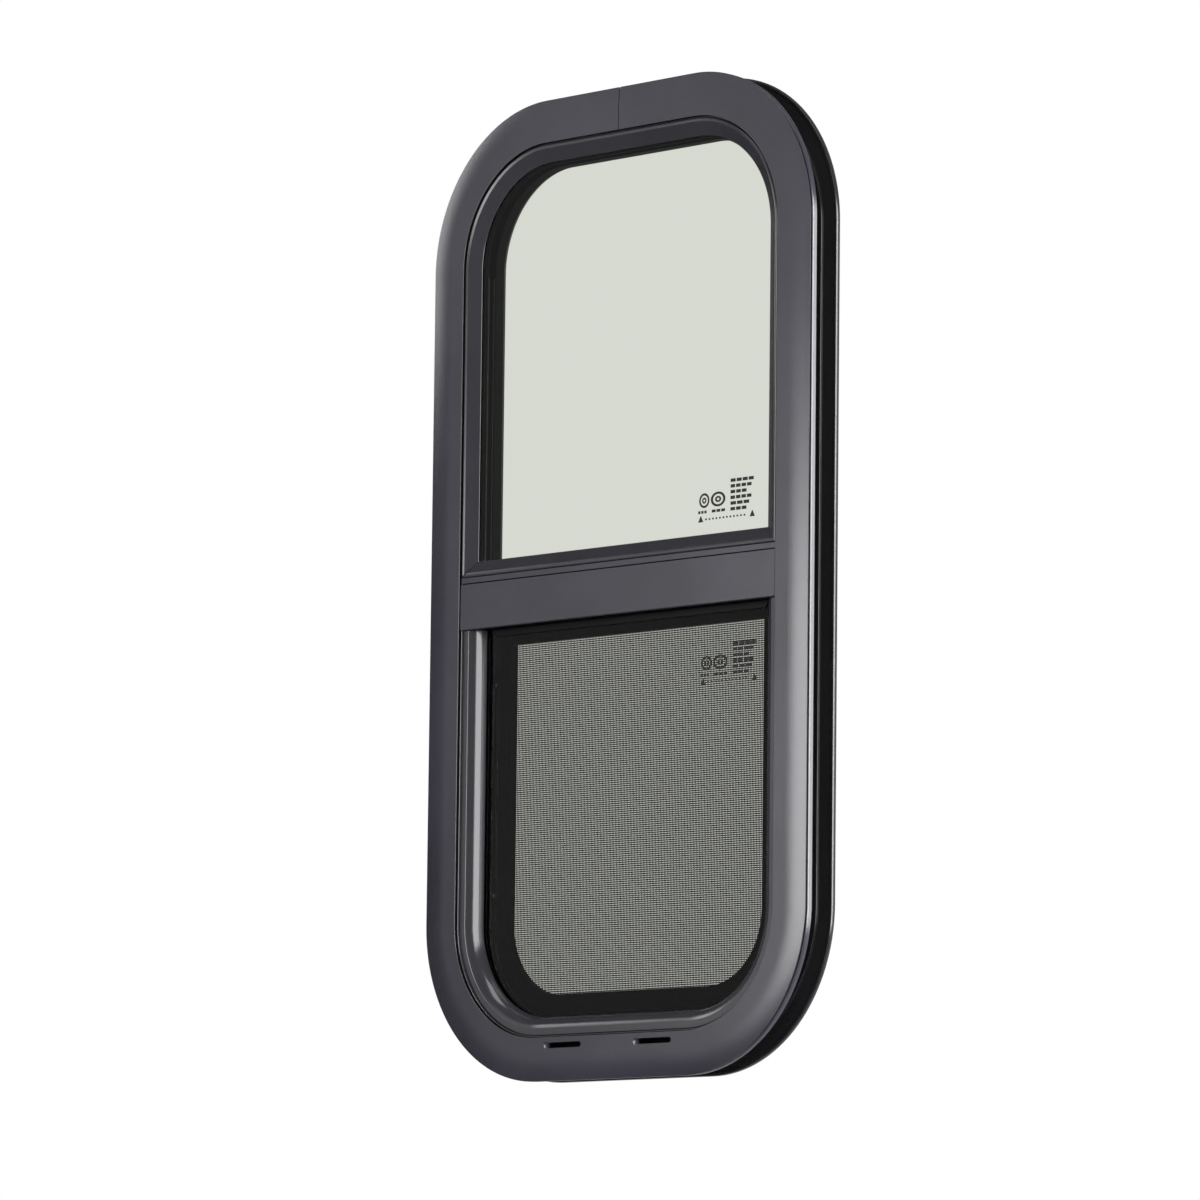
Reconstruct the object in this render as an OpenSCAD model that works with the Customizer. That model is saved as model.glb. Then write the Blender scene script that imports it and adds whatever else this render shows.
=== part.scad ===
// Caravan window: a fixed upper pane above a lower pane that slides up, in one bent aluminium
// frame that a trim ring clamps into the wall from indoors.
// Each piece is drawn lying on its back: x runs across the window, y up it from its middle, and
// z towards the outside, with z = 0 at the outer face of the wall. stand() then sets it upright.
// An inset is a distance inwards from the outer edge of the flange.

/* [Overall size] */
// Width over the flange
frame_w = 356; // [330:1:420]
// Height over the flange
frame_h = 660; // [600:1:760]
// Outer radius of the corners
corner_r = 108; // [96:1:120]
// Thickness of the caravan wall that the window is made for
wall_gap = 18.7; // [18:0.1:26]

/* [Frame profile] */
// Width of the flange seen from outside
flange_w = 29; // [27:0.5:30]
// Thickness of the flange
flange_t = 1.8; // [1.4:0.1:2.2]
// Height of the flange's face in front of the wall
face_h = 7.3; // [6.8:0.1:8.5]
// Width of the flat part of the flange, from its inner edge to the crease
flat_w = 11.5; // [9:0.5:14]
// Drop of the flange from the crease to its outer edge
crown_drop = 1; // [0.6:0.1:1.6]
// Thickness of the lip round the flange's edge
lip_t = 3; // [2.4:0.1:4]
// Width of the pocket under the flange's inner edge, which takes the beads' roots
pocket_w = 7; // [6.5:0.1:7.5]
// Thickness of the leg
leg_t = 1.5; // [1.2:0.1:1.8]
// Width of the land on which the flange rests on the wall
land_w = 5.5; // [4:0.1:6]
// Inset of the clear opening
throat_inset = 42.4; // [41:0.1:44]
// Thickness of the ribs and of the inner wall
rib_t = 1.4; // [1.2:0.1:1.6]
// Depth of the groove in which the sliding pane runs
track_d = 9.3; // [8:0.1:9.6]

/* [Glass and seals] */
// Thickness of both panes
pane_t = 4; // [3:0.5:5]
// Height of the fixed pane's face in front of the wall
pane_front = 0.5; // [0:0.1:1]
// Thickness of the glazing tape behind the fixed pane
tape_t = 0.5; // [0.4:0.1:1]
// Depth by which the fixed pane's edge is covered
pane_cover = 14.4; // [11:0.1:15]
// Width of the dark joint between flange and beads
joint_w = 1.1; // [0.8:0.1:1.6]
// Width of the curved bead in front of the fixed pane
bead_w = 11.2; // [9:0.1:11.3]
// Depth of the lower bead's edge behind the flange's face
bead_sink = 3.4; // [2.5:0.1:4]
// Width of the flat strip along the lower bead's edge
strip_w = 3.2; // [2:0.1:5]
// Thickness of the lower bead's wall
bead_t = 1.8; // [1.4:0.1:2]
// Thickness of the run lining in front of the sliding pane
run_front_t = 1.4; // [1.3:0.1:2]
// Thickness of the run lining behind the sliding pane
run_back_t = 0.8; // [0.6:0.1:1.2]
// Play between the pieces that are pushed or laid together
fit = 0.1; // [0.05:0.05:0.2]

/* [Crossbar] */
// Height of the crossbar's lower edge, from the window's middle
bar_low = -23.7; // [-30:0.1:-10]
// Height of the crossbar's face
bar_w = 31; // [26:0.5:40]
// Height of the crossbar's face in front of the wall
bar_face = 6.5; // [6.2:0.1:6.8]
// Width of the ledge above the crossbar's face
ledge_w = 3.6; // [3:0.1:5]
// Width of the bead along the crossbar
bar_bead_w = 10.7; // [9:0.1:13]
// Width of each weep slot
weep_w = 32; // [20:1:40]
// Height of each weep slot
weep_h = 3.5; // [2.5:0.1:3.6]
// Distance of each weep slot's middle from the window's middle
weep_x = 42; // [30:1:46]

/* [Sliding pane] */
// Inset of the sliding pane's edge
sash_inset = 35.5; // [35:0.1:37]
// Height of the rail along the top of the sliding pane
rail_h = 21.2; // [16:0.1:24]
// Half of the rail's length short of the clear opening
rail_short = 5.6; // [3:0.1:12]
// Distance by which the rail shows below the crossbar
rail_show = 4.5; // [2:0.1:8]
// Thickness of the rail's walls
rail_t = 1.2; // [1:0.1:1.3]
// Depth of the finger ledge behind the rail
finger_d = 5.5; // [4:0.1:6]

/* [Insect screen] */
// Gap between the screen and the clear opening
screen_gap = 2.6; // [1.5:0.1:4]
// Width of the screen's frame members
member_w = 14; // [12:0.5:18]
// Depth of the screen's frame members
member_d = 6.6; // [5.5:0.1:7]
// Distance of the screen's top below the crossbar's middle
screen_drop = 11.5; // [10:0.1:16]
// Thickness of the mesh
mesh_t = 0.3; // [0.2:0.1:0.4]

/* [Clamp ring] */
// Amount by which the ring is smaller than the flange, all round
ring_inset = 0.5; // [0:0.1:2]
// Thickness of the ring's plate
ring_t = 2; // [1.6:0.1:2.4]
// Thickness of the ring's outer lip
ring_lip_t = 2; // [1.6:0.1:3]
// Depth of the lip in front of the plate
ring_lip_d = 1.4; // [1:0.1:2]
// Diameter of the ring screws' shanks
screw_d = 2.4; // [2.2:0.1:2.6]
// Diameter of the ring screws' heads
head_d = 7; // [6:0.1:8]

/* [Hidden] */

frame_grey = [0.27, 0.27, 0.29];
rubber_black = [0.11, 0.11, 0.115];
glass_green = [0.80, 0.82, 0.78, 0.5];
mesh_grey = [0.42, 0.43, 0.40];
steel_grey = [0.6, 0.6, 0.62];

bend_fn = 96;
pin_fn = 48;

// Centres of the corner bends
corner_x = frame_w / 2 - corner_r;
corner_y = frame_h / 2 - corner_r;

// Heights through the frame, from the outside in
under = face_h - crown_drop - flange_t;
pane_back = pane_front - pane_t;
rib_top = pane_back - tape_t;
rib_low = rib_top - rib_t;
sash_front = rib_low - run_front_t - 2 * fit;
sash_back = sash_front - pane_t;
mid_top = sash_back - run_back_t - 2 * fit;
mid_low = mid_top - rib_t;
ring_front = -wall_gap - ring_lip_d;
back = ring_front + 3 * fit;
ring_back = ring_front - ring_t;

// Lines across the frame's section, as distances from a corner's centre
leg_inset = flange_w - pocket_w - leg_t;
leg_out = corner_r - leg_inset;
leg_in = leg_out - leg_t;
throat = corner_r - throat_inset;
track_floor = throat + track_d;
bead_out = corner_r - flange_w - joint_w;
root_out = leg_in - weep_h - fit;
land_out = leg_out + land_w;
screw_line = (track_floor + leg_in) / 2 - 4;
boss_t = 0.9;

// Groove round the flange's side, and the ridge behind it
edge_groove = 1.6;
edge_groove_top = face_h - crown_drop - 0.4;
edge_groove_low = edge_groove_top - 1.7;
edge_ridge = 1.6;
edge_step = 0.3;

// Crossbar
bar_top = bar_low + bar_w;
bar_mid = bar_low + bar_w / 2;
bar_t = 1.6;
line_w = 0.9;
ledge_low = bar_top + line_w;
ledge_top = ledge_low + ledge_w;
ledge_face = bar_face - 0.6;
bar_bead_low = ledge_top + 0.5;
bar_bead_top = bar_bead_low + bar_bead_w;
bar_lip_front = pane_back - 2 * fit;
bar_lip_back = bar_lip_front - 1.3;
bar_web = bar_top - 2.2;
pane_low = bar_web + 3 * fit;
bar_half = leg_in + corner_x - 2 * fit;

// Sliding pane and its rail
rail_low = bar_low - rail_show;
rail_top = rail_low + rail_h;
rail_half = corner_x + throat - rail_short;
rail_front = sash_front - fit + rail_t;
rail_back = sash_back + fit - rail_t;
sash_top = rail_top - rail_t - fit;
rail_corner = 4;
seal_y = bar_mid - 4;

// Screen
screen_out = throat - screen_gap;
screen_in = screen_out - member_w;
screen_top = bar_mid - screen_drop;
screen_back = back - 1.7;
screen_front = screen_back + member_d;
spline_r = 1.4;
spline_line = (screen_out + screen_in) / 2;
edge_ease = 0.8;

// Latches
latch_y = rail_top - 8;
latch_w = 26;
latch_h = 9;
latch_d = 4.2;
latch_out = rail_half - 3;
bolt_d = 4;
bolt_z = rail_back - latch_d / 2 - 0.3;
bolt_tip = corner_x + throat + rib_t + 2;
vent_step = 55;
thumb_w = 10;
thumb_h = 6;
thumb_d = 2.6;

// The mount's origin lies on the bottom land, half-way across it
origin_y = frame_h / 2 - leg_inset + land_w / 2;

// Sets a piece that was drawn lying on its back upright, with the origin on the bottom land
module stand() {
    rotate([90, 0, 0]) translate([0, origin_y, 0]) children();
}

// A straight run of a profile from a point, facing the direction a
module straight(x, y, a, len) {
    translate([x, y, 0]) rotate([0, 0, a]) rotate([90, 0, 0]) linear_extrude(len) children();
}

// A quarter turn of a profile round a corner's centre, starting at the direction a
module bend(x, y, a) {
    translate([x, y, 0]) rotate([0, 0, a]) rotate_extrude(angle = 90, $fn = bend_fn) children();
}

// A profile carried up both sides from y0 and round the top
module arch(y0) {
    straight(corner_x, corner_y, 0, corner_y - y0) children();
    bend(corner_x, corner_y, 0) children();
    straight(-corner_x, corner_y, 90, 2 * corner_x) children();
    bend(-corner_x, corner_y, 90) children();
    straight(-corner_x, y0, 180, corner_y - y0) children();
}

// A profile carried down both sides from y0 and round the bottom
module trough(y0) {
    mirror([0, 1, 0]) arch(-y0) children();
}

// A profile carried all the way round
module loop() {
    arch(0) children();
    trough(0) children();
}

// A flat plate with round upper corners, whose edge is the line r, from y0 up
module plate_arch(r, y0, z, t) {
    translate([0, 0, z]) {
        translate([-corner_x - r, y0, 0]) cube([2 * (corner_x + r), corner_y - y0, t]);
        translate([-corner_x, y0, 0]) cube([2 * corner_x, corner_y + r - y0, t]);
        for (s = [-1, 1])
            translate([s * corner_x, corner_y, 0]) cylinder(h = t, r = r, $fn = bend_fn);
    }
}

// A box from its lowest and highest corners
module block(low, high) {
    translate(low) cube(high - low);
}

// Points of a slope from (x0, z0) to (x1, z1); a swell above 1 makes it convex
function slope_points(x0, z0, x1, z1, swell = 1.12, n = 4) =
    [for (i = [0:n]) let (t = i / n) [x0 + (x1 - x0) * t, z0 + (z1 - z0) * pow(t, swell)]];

// From the crease the flange falls away in a parabola that starts with a slight break
crown_w = flange_w - flat_w;
crown_steps = 6;
crown_break = 0.25;
crown = [for (i = [0:crown_steps]) let (t = i / crown_steps)
    [corner_r - crown_w * (1 - t),
    face_h - crown_drop * (crown_break * t + (1 - crown_break) * t * t)]];

module frame_section() {
    inner_wall = throat + rib_t;
    difference() {
        polygon(concat(
            [[corner_r - flange_w, under], [corner_r - flange_w, face_h]],
            crown,
            [[corner_r, edge_groove_top],
            [corner_r - edge_groove, edge_groove_top],
            [corner_r - edge_groove, edge_groove_low],
            [corner_r, edge_groove_low - edge_step],
            [corner_r, edge_groove_low - edge_ridge],
            [corner_r - edge_step, edge_groove_low - edge_ridge],
            [corner_r - edge_step, 0],
            [corner_r - lip_t, 0],
            [corner_r - lip_t, under],
            [land_out, under],
            [land_out, 0],
            [leg_out, 0],
            [leg_out, back],
            [leg_in, back],
            [leg_in, mid_low],
            [screw_line + screw_d / 2 + fit + boss_t, mid_low],
            [screw_line + screw_d / 2 + fit + boss_t, back],
            [screw_line + screw_d / 2 + fit, back],
            [screw_line + screw_d / 2 + fit, mid_low],
            [screw_line - screw_d / 2 - fit, mid_low],
            [screw_line - screw_d / 2 - fit, back],
            [screw_line - screw_d / 2 - fit - boss_t, back],
            [screw_line - screw_d / 2 - fit - boss_t, mid_low],
            [inner_wall, mid_low],
            [inner_wall, back],
            [throat, back],
            [throat, mid_top],
            [track_floor, mid_top],
            [track_floor, rib_low],
            [throat, rib_low],
            [throat, rib_top],
            [leg_in, rib_top],
            [leg_in, under]]));
        polygon([[track_floor + rib_t, mid_top], [leg_in, mid_top],
            [leg_in, rib_low], [track_floor + rib_t, rib_low]]);
    }
}

module weep_slots() {
    slot_y = -frame_h / 2 + leg_inset + leg_t + weep_h / 2 - 0.2;
    for (s = [-1, 1]) {
        for (e = [-1, 1])
            translate([s * weep_x + e * (weep_w - weep_h) / 2, slot_y, under - 1])
                cylinder(h = flange_t + 2, r = weep_h / 2, $fn = pin_fn);
        block([s * weep_x - (weep_w - weep_h) / 2, slot_y - weep_h / 2, under - 1],
            [s * weep_x + (weep_w - weep_h) / 2, slot_y + weep_h / 2, face_h + 1]);
    }
}

// Width of the butt seam where the frame's two ends meet
seam_w = 0.5;

// Screws that hold the crossbar, as places in the frame's leg
bar_screw_d = 3;
bar_head_d = 6;
bar_head_t = 0.9;
bar_screws = [bar_low + bar_t + 2, bar_web - bar_t - 2];
bar_screw_z = 0.7;
bar_screw_len = 12;

// A rod along x, from x = 0 outwards, on the side s
module side_rod(s, x, y, z, d, len) {
    translate([s * x, y, z]) rotate([0, s * 90, 0]) cylinder(h = len, d = d, $fn = pin_fn);
}

module outer_frame() {
    color(frame_grey) stand() difference() {
        loop() frame_section();
        weep_slots();
        // Butt seam across the top of the flange
        block([-seam_w / 2, frame_h / 2 - flange_w - 1, face_h - crown_drop - seam_w],
            [seam_w / 2, frame_h / 2 + 1, face_h + 1]);
        for (s = [-1, 1]) {
            for (y = bar_screws) {
                side_rod(s, corner_x + leg_in - 1, y, bar_screw_z, bar_screw_d + 2 * fit, leg_t + 2);
                side_rod(s, corner_x + leg_out - bar_head_t, y, bar_screw_z,
                    bar_head_d + 2 * fit, bar_head_t + 1);
            }
            for (y = [latch_y, latch_y + vent_step, latch_y + 2 * vent_step])
                side_rod(s, corner_x + throat - 1, y, bolt_z, bolt_d + 4 * fit, rib_t + 2);
            for (y = screen_pin_ys)
                side_rod(s, corner_x + throat - 1, y, screen_pin_z,
                    screen_pin_d + 4 * fit, rib_t + 2);
        }
    }
}

// Foam seal that fills the hollow behind the flange
module wall_gasket() {
    out = corner_r - lip_t - 2 * fit;
    inner = land_out + 2 * fit;
    color(rubber_black) stand() loop() polygon([[inner, 0], [out, 0],
        [out, under - fit], [inner, under - fit]]);
}

// Plate that joins the frame's two ends, outside the leg at the top
module seam_plate() {
    plate_l = 44;
    plate_t = 0.8;
    rivet_d = 4.6;
    y0 = corner_y + leg_out;
    color(steel_grey) stand() {
        block([-plate_l / 2, y0, back + 3], [plate_l / 2, y0 + plate_t, -3]);
        for (k = [-0.7, -0.3, 0.3, 0.7])
            translate([k * plate_l / 2, y0 + plate_t, back / 2]) rotate([-90, 0, 0])
                cylinder(h = plate_t / 2, d = rivet_d, $fn = pin_fn);
    }
}

module mullion() {
    half_face = corner_x + corner_r - flange_w - 3 * fit;
    throat_x = corner_x + throat;
    color(frame_grey) stand() difference() {
        rotate([90, 0, 90]) translate([0, 0, -bar_half]) linear_extrude(2 * bar_half) difference() {
            polygon([[bar_low, bar_lip_back],
                [bar_bead_top - 2, bar_lip_back],
                [bar_bead_top - 2, bar_lip_front],
                [bar_web, bar_lip_front],
                [bar_web, ledge_face - bar_t],
                [ledge_top, ledge_face - bar_t],
                [ledge_top, ledge_face],
                [ledge_low, ledge_face],
                [ledge_low, bar_face - 1.4],
                [bar_top, bar_face - 1.4],
                [bar_top, bar_face],
                [bar_low + 0.6, bar_face],
                [bar_low, bar_face - 0.6]]);
            polygon([[bar_low + bar_t, bar_lip_back + bar_t],
                [bar_web - bar_t, bar_lip_back + bar_t],
                [bar_web - bar_t, bar_face - bar_t],
                [bar_low + bar_t, bar_face - bar_t]]);
        }
        for (s = [-1, 1]) {
            // The face stops at the flange's inner edge, and the body runs on under the flange
            block([min(s * half_face, s * (bar_half + 1)), bar_low - 1, under - 3 * fit],
                [max(s * half_face, s * (bar_half + 1)), bar_bead_top, bar_face + 1]);
            // The back is notched over the frame's front rib
            block([min(s * (throat_x - 2 * fit), s * (bar_half + 1)), bar_low - 1, bar_lip_back - 1],
                [max(s * (throat_x - 2 * fit), s * (bar_half + 1)), bar_bead_top, rib_top + fit]);
        }
    }
    // Screw ports inside the bar
    color(frame_grey) stand() for (y = bar_screws, s = [-1, 1]) difference() {
        side_rod(s, bar_half - bar_screw_len - 3, y, bar_screw_z, bar_screw_d + 2.4,
            bar_screw_len + 3);
        side_rod(s, bar_half - bar_screw_len - 2, y, bar_screw_z, bar_screw_d + 2 * fit,
            bar_screw_len + 3);
    }
}

module mullion_screws() {
    color(steel_grey) stand() for (y = bar_screws, s = [-1, 1]) {
        side_rod(s, corner_x + leg_out - bar_head_t, y, bar_screw_z, bar_head_d, bar_head_t);
        side_rod(s, bar_half - bar_screw_len + 1, y, bar_screw_z, bar_screw_d,
            corner_x + leg_out - bar_half + bar_screw_len - 1 - bar_head_t / 2);
    }
}

module upper_glass() {
    color(glass_green) stand() plate_arch(throat + pane_cover, pane_low, pane_back, pane_t);
}

module glazing_tape() {
    color(rubber_black) stand() arch(bar_bead_top + 1) translate([throat + 1, rib_top])
        square([pane_cover - 3, tape_t]);
}

// Section of the rubber bead that holds the fixed pane: a sloping face over a root in the frame
module bead_section() {
    seat = pane_front + fit;
    crest = face_h - 0.7;
    polygon(concat(
        [[bead_out, under - 2 * fit], [bead_out, crest - 0.7], [bead_out - 0.7, crest]],
        slope_points(bead_out - 1.4, crest - 0.2, bead_out - bead_w, seat + 0.6),
        [[bead_out - bead_w, seat], [root_out, seat], [root_out, under - 2 * fit]]));
}

// Prism that cuts the beads' ends along one line, from the corner of the joint inwards
module mitre_wedge(s) {
    x1 = corner_x + bead_out;
    x0 = x1 - bead_w;
    slope = bar_bead_w / bead_w;
    far = 30;
    translate([0, 0, pane_back]) linear_extrude(face_h - pane_back + 2)
        polygon([[s * (x1 + far), bar_bead_low - far * slope],
            [s * (x0 - far), bar_bead_top + far * slope],
            [s * (x0 - far), bar_bead_low - far * slope]]);
}

module upper_bead() {
    color(rubber_black) stand() difference() {
        arch(ledge_top + fit) bead_section();
        for (s = [-1, 1])
            mitre_wedge(s);
    }
}

module bar_bead() {
    half = corner_x + bead_out;
    color(rubber_black) stand() intersection() {
        // The section is turned so that its root reaches under the crossbar's ledge
        translate([-half, bar_bead_low, 0]) rotate([90, 0, 90]) linear_extrude(2 * half)
            bar_bead_section();
        translate([0, -3 * fit, 0]) mitred_span();
    }
}

module bar_bead_section() {
    seat = pane_front + fit;
    crest = ledge_face - 0.1;
    root_top = ledge_face - bar_t - 2 * fit;
    polygon(concat(
        [[-2.6, seat], [-2.6, root_top], [0, root_top], [0, crest - 0.7], [0.7, crest]],
        slope_points(1.4, crest - 0.2, bar_bead_w, seat + 0.6),
        [[bar_bead_w, seat]]));
}

// The space between the two mitre lines, in which the crossbar's bead lies
module mitred_span() {
    x1 = corner_x + bead_out;
    x0 = x1 - bead_w;
    slope = bar_bead_w / bead_w;
    far = 30;
    translate([0, 0, pane_back]) linear_extrude(face_h - pane_back + 2)
        polygon([[-x1 - far, bar_bead_low - far * slope],
            [-x0 + far, bar_bead_top + far * slope],
            [x0 - far, bar_bead_top + far * slope],
            [x1 + far, bar_bead_low - far * slope]]);
}

// Rubber lip that closes the frame in front of the sliding pane
module lower_bead() {
    fin_t = 0.7;
    fin_gap = 0.7;
    strip_fall = 0.2;
    nose = throat - 1;
    nose_low = rib_low - 0.7;
    edge = bead_out - fin_gap;
    edge_z = face_h - bead_sink;
    crest = edge_z - strip_fall;
    a = edge - strip_w - nose;
    b = crest - nose_low;
    floor_z = rib_top + fit + bead_t;
    end = acos(1 - (crest - bead_t - floor_z) / (b - bead_t));
    steps = 8;
    color(rubber_black) stand() trough(bar_low - fit) difference() {
        polygon(concat(
            [[root_out, under - 2 * fit], [bead_out + fin_t, under - 2 * fit],
            [bead_out + fin_t, face_h - 1.9], [bead_out, face_h - 1.9],
            [bead_out, edge_z - 2], [edge, edge_z - 2], [edge, edge_z]],
            [for (i = [0:steps]) let (t = 90 * i / steps)
                [nose + a * (1 - sin(t)), crest - b * (1 - cos(t))]],
            [[throat - 2 * fit, nose_low], [throat - 2 * fit, rib_top + fit],
            [root_out, rib_top + fit]]));
        polygon(concat(
            [[root_out - bead_t, floor_z], [root_out - bead_t, crest - bead_t]],
            [for (i = [0:steps]) let (t = end * i / steps)
                [nose + bead_t + (a - bead_t) * (1 - sin(t)),
                crest - bead_t - (b - bead_t) * (1 - cos(t))]]));
    }
}

// Soft lining of the groove in which the sliding pane runs
module glass_run() {
    floor_t = 1;
    run_top = corner_y - 4;
    out = track_floor - fit;
    open = throat + 0.8;
    color(rubber_black) stand() trough(run_top) polygon([
        [open, rib_low - fit], [out, rib_low - fit], [out, mid_top + fit], [open, mid_top + fit],
        [open, sash_back - fit], [out - floor_t, sash_back - fit],
        [out - floor_t, sash_front + fit], [open, sash_front + fit]]);
}

module sash_glass() {
    color(glass_green) stand() mirror([0, 1, 0])
        plate_arch(corner_r - sash_inset, -sash_top, sash_back, pane_t);
}

module sash_rail() {
    r = rail_corner;
    color(frame_grey) stand() {
        // Front strip, with rounded lower corners
        block([-rail_half, rail_low + r, sash_front + fit], [rail_half, rail_top, rail_front]);
        block([-rail_half + r, rail_low, sash_front + fit], [rail_half - r, rail_low + r, rail_front]);
        for (s = [-1, 1])
            translate([s * (rail_half - r), rail_low + r, sash_front + fit])
                cylinder(h = rail_front - sash_front - fit, r = r, $fn = pin_fn);
        // Cap over the pane's edge, back wall and finger ledge
        block([-rail_half, rail_top - rail_t, rail_back], [rail_half, rail_top, rail_front]);
        block([-rail_half, rail_low + 4, rail_back], [rail_half, rail_top, sash_back - fit]);
        block([-rail_half, rail_top - rail_t, rail_back - finger_d], [rail_half, rail_top, rail_back]);
    }
}

// Pile strip on the crossbar's back that wipes the rail
module meeting_seal() {
    half = corner_x + throat - 6;
    color(rubber_black) stand()
        block([-half, seal_y - 3, rail_front + fit], [half, seal_y + 3, bar_lip_back]);
}

module latch(s) {
    x0 = latch_out - latch_w;
    color(rubber_black) stand() {
        // Housing on the rail's back
        block([min(s * x0, s * latch_out), latch_y - latch_h / 2, rail_back - latch_d],
            [max(s * x0, s * latch_out), latch_y + latch_h / 2, rail_back]);
        side_rod(s, latch_out - 1, latch_y, bolt_z, bolt_d, bolt_tip - latch_out + 1);
        // Thumb button
        block([s * (x0 + latch_w / 2) - thumb_w / 2, latch_y - thumb_h / 2,
            rail_back - latch_d - thumb_d],
            [s * (x0 + latch_w / 2) + thumb_w / 2, latch_y + thumb_h / 2, rail_back - latch_d]);
    }
}

module latch_left() {
    latch(-1);
}

module latch_right() {
    latch(1);
}

// Section of the screen's frame: eased edges and a groove for the spline on the indoor side
module member_section() {
    g = spline_r + fit;
    e = edge_ease;
    polygon([[screen_in, screen_back + e], [screen_in + e, screen_back],
        [spline_line - g, screen_back], [spline_line - g, screen_back + 2 * g],
        [spline_line + g, screen_back + 2 * g], [spline_line + g, screen_back],
        [screen_out - e, screen_back], [screen_out, screen_back + e],
        [screen_out, screen_front - e], [screen_out - e, screen_front],
        [screen_in + e, screen_front], [screen_in, screen_front - e]]);
}

module screen_frame() {
    color(frame_grey) stand() trough(screen_top) member_section();
}

// The top member lies between the two sides
module screen_top_rail() {
    half = corner_x + screen_in;
    color(frame_grey) stand() translate([-half + fit, screen_top - screen_out, 0])
        rotate([90, 0, 90]) linear_extrude(2 * (half - fit)) member_section();
}

module screen_mesh() {
    g = spline_r + 3 * fit;
    color(mesh_grey) stand() mirror([0, 1, 0]) plate_arch(spline_line - g,
        -(screen_top - screen_out + spline_line - g), screen_back - fit - mesh_t, mesh_t);
}

module screen_spline() {
    z = screen_back + spline_r + fit;
    half = corner_x + screen_in;
    color(rubber_black) stand() {
        trough(screen_top - 1) translate([spline_line, z]) circle(r = spline_r, $fn = pin_fn);
        translate([-half + 1, screen_top - screen_out + spline_line, z]) rotate([0, 90, 0])
            cylinder(h = 2 * (half - 1), r = spline_r, $fn = pin_fn);
    }
}

// Spring pins that hold the screen between the frame's walls
screen_pin_d = 3;
screen_pin_z = screen_back + member_d / 2;
pin_from_top = 40;
pin_from_bend = 20;
screen_pin_ys = [screen_top - pin_from_top, -corner_y + pin_from_bend];

module screen_pins() {
    tip = throat + rib_t + 1;
    color(steel_grey) stand() for (s = [-1, 1], y = screen_pin_ys)
        side_rod(s, corner_x + screen_out, y, screen_pin_z, screen_pin_d, tip - screen_out);
}

// Pull tabs on the indoor side of the screen's lower member
module screen_tabs() {
    tab_w = 12;
    tab_x = 38;
    tab_t = 1.8;
    low = -corner_y - screen_out + 2;
    step = -corner_y - spline_line + spline_r + fit;
    high = -corner_y - screen_in - 3;
    z = screen_back - fit;
    over_mesh = z - mesh_t - fit;
    color(rubber_black) stand() for (s = [-1, 1])
        translate([s * tab_x - tab_w / 2, 0, 0]) rotate([90, 0, 90]) linear_extrude(tab_w)
            polygon([[low, z], [step, z], [step, over_mesh], [high, over_mesh],
                [high, z - tab_t], [low, z - tab_t]]);
}

ring_screw_ys = [-0.88, -0.29, 0.29, 0.88];
ring_screw_xs = [-0.57, 0.57];

// Puts a child at each ring screw
module at_ring_screws() {
    for (s = [-1, 1], k = ring_screw_ys)
        translate([s * (corner_x + screw_line), k * corner_y, 0]) children();
    for (s = [-1, 1], k = ring_screw_xs)
        translate([k * corner_x, s * (corner_y + screw_line), 0]) children();
}

module ring_section() {
    out = corner_r - ring_inset;
    ease_r = 1.2;
    key = leg_in - 4 * fit;
    inner = throat + 0.6;
    rib_w = 2.2;
    rib = leg_out + 6.3;
    polygon([[out, -wall_gap], [out, ring_back + ease_r], [out - ease_r, ring_back],
        [inner + ease_r / 2, ring_back], [inner, ring_back + ease_r / 2],
        [inner, ring_front],
        [key - 1.8, ring_front], [key - 1.8, ring_front + 5], [key, ring_front + 5],
        [key, ring_front],
        [rib - rib_w, ring_front], [rib - rib_w, -wall_gap], [rib, -wall_gap], [rib, ring_front],
        [out - ring_lip_t, ring_front], [out - ring_lip_t, -wall_gap]]);
}

module clamp_ring() {
    color(frame_grey) stand() difference() {
        loop() ring_section();
        at_ring_screws() translate([0, 0, ring_back - 1])
            cylinder(h = ring_t + 2, d = screw_d + 1, $fn = pin_fn);
    }
}

module ring_screws() {
    head_h = 1.6;
    color(steel_grey) stand() at_ring_screws() {
        translate([0, 0, ring_back - head_h]) cylinder(h = head_h, d = head_d, $fn = pin_fn);
        translate([0, 0, ring_back - head_h / 2])
            cylinder(h = mid_low - ring_back + head_h / 2 - 2, d = screw_d, $fn = pin_fn);
    }
}

outer_frame();
wall_gasket();
seam_plate();
mullion();
mullion_screws();
upper_glass();
glazing_tape();
upper_bead();
bar_bead();
lower_bead();
glass_run();
sash_glass();
sash_rail();
meeting_seal();
latch_left();
latch_right();
screen_frame();
screen_top_rail();
screen_mesh();
screen_spline();
screen_pins();
screen_tabs();
clamp_ring();
ring_screws();
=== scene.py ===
import math

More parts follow.
